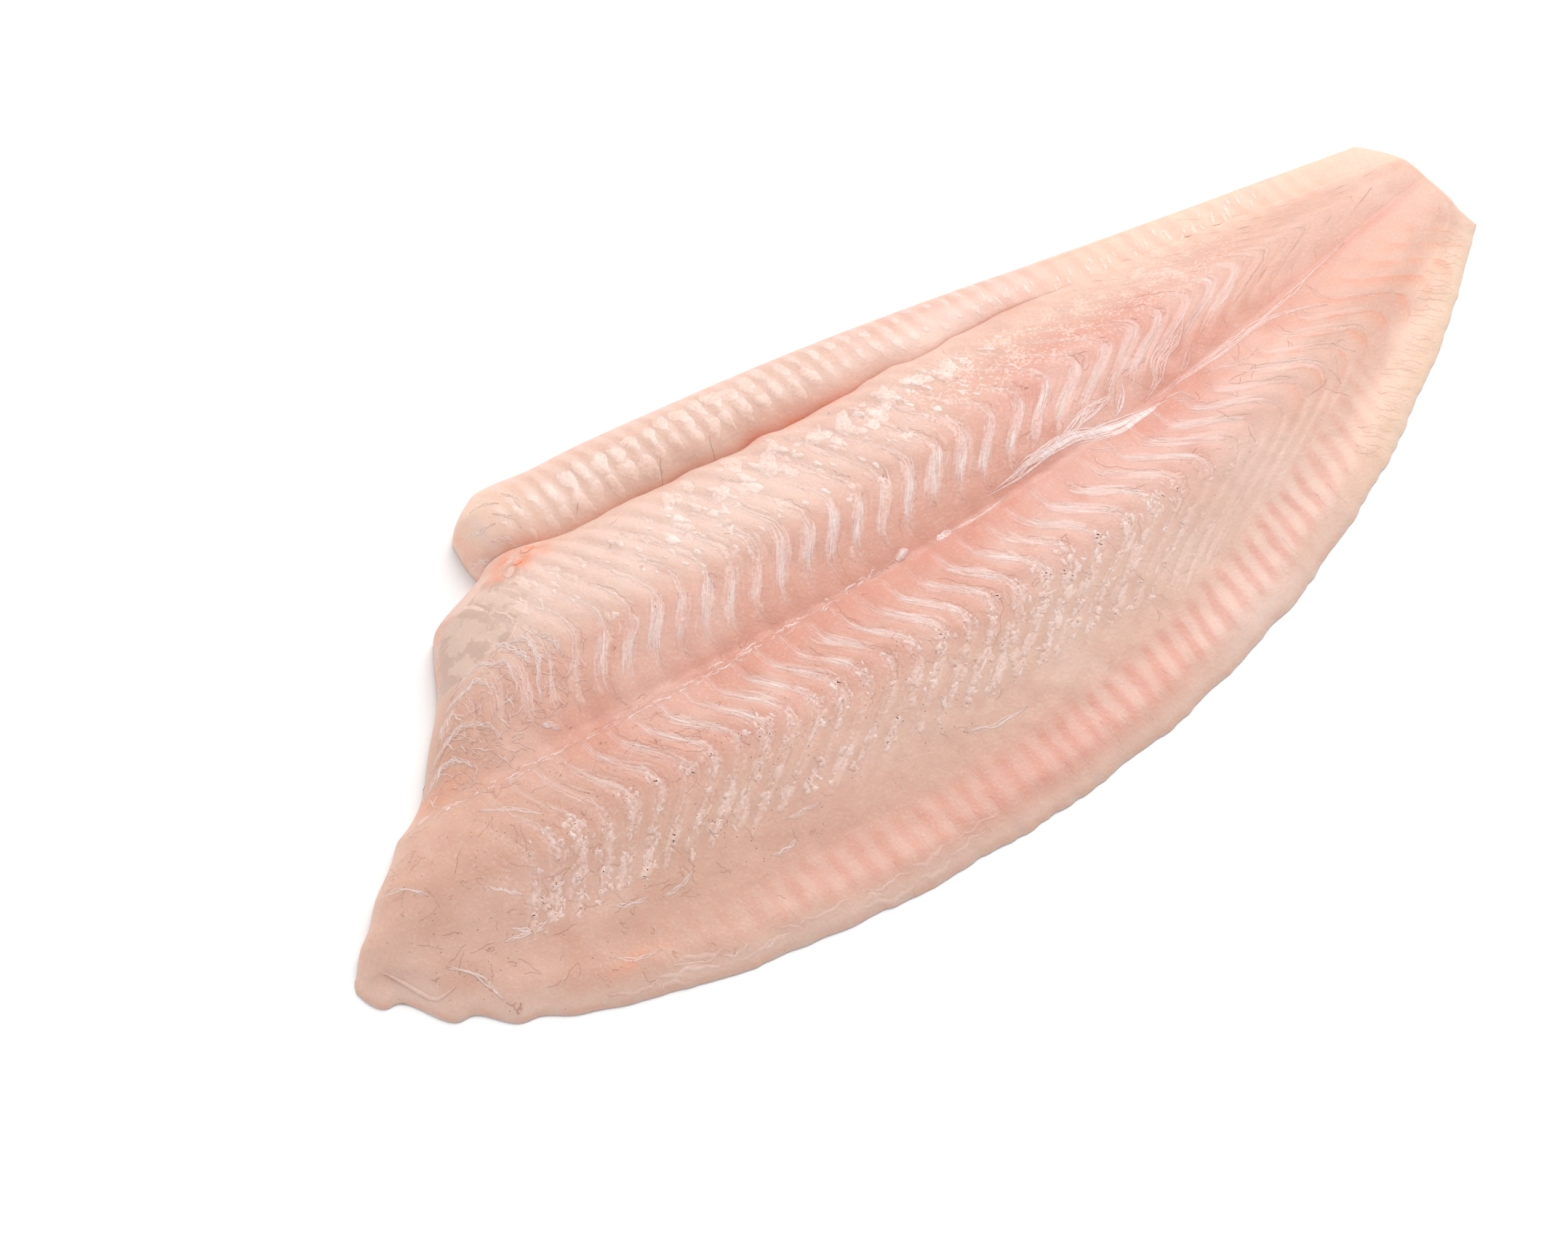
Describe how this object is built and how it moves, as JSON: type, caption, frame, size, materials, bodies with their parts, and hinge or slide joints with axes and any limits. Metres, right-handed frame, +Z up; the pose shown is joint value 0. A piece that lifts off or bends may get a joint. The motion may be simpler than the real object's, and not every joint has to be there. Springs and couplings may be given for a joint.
{
  "type": "headless sole fillet",
  "caption": "Skinless raw flatfish fillet with its head cut away: two long muscle lobes along a shallow midline, a rolled fin edge on one side and a thin frill on the other.",
  "frame": {"origin": "middle of the footprint's bounding box, on the flat underside", "axes": "+X along the fish from the head cut to the tail cut, +Y across it towards the rolled fin edge, +Z up out of the side that shows"},
  "size_m": [0.2314, 0.1008, 0.0123],
  "materials": {
    "flesh": null
  },
  "bodies": {
    "root": {"sole_fillet": "flesh"}
  },
  "joints": []
}
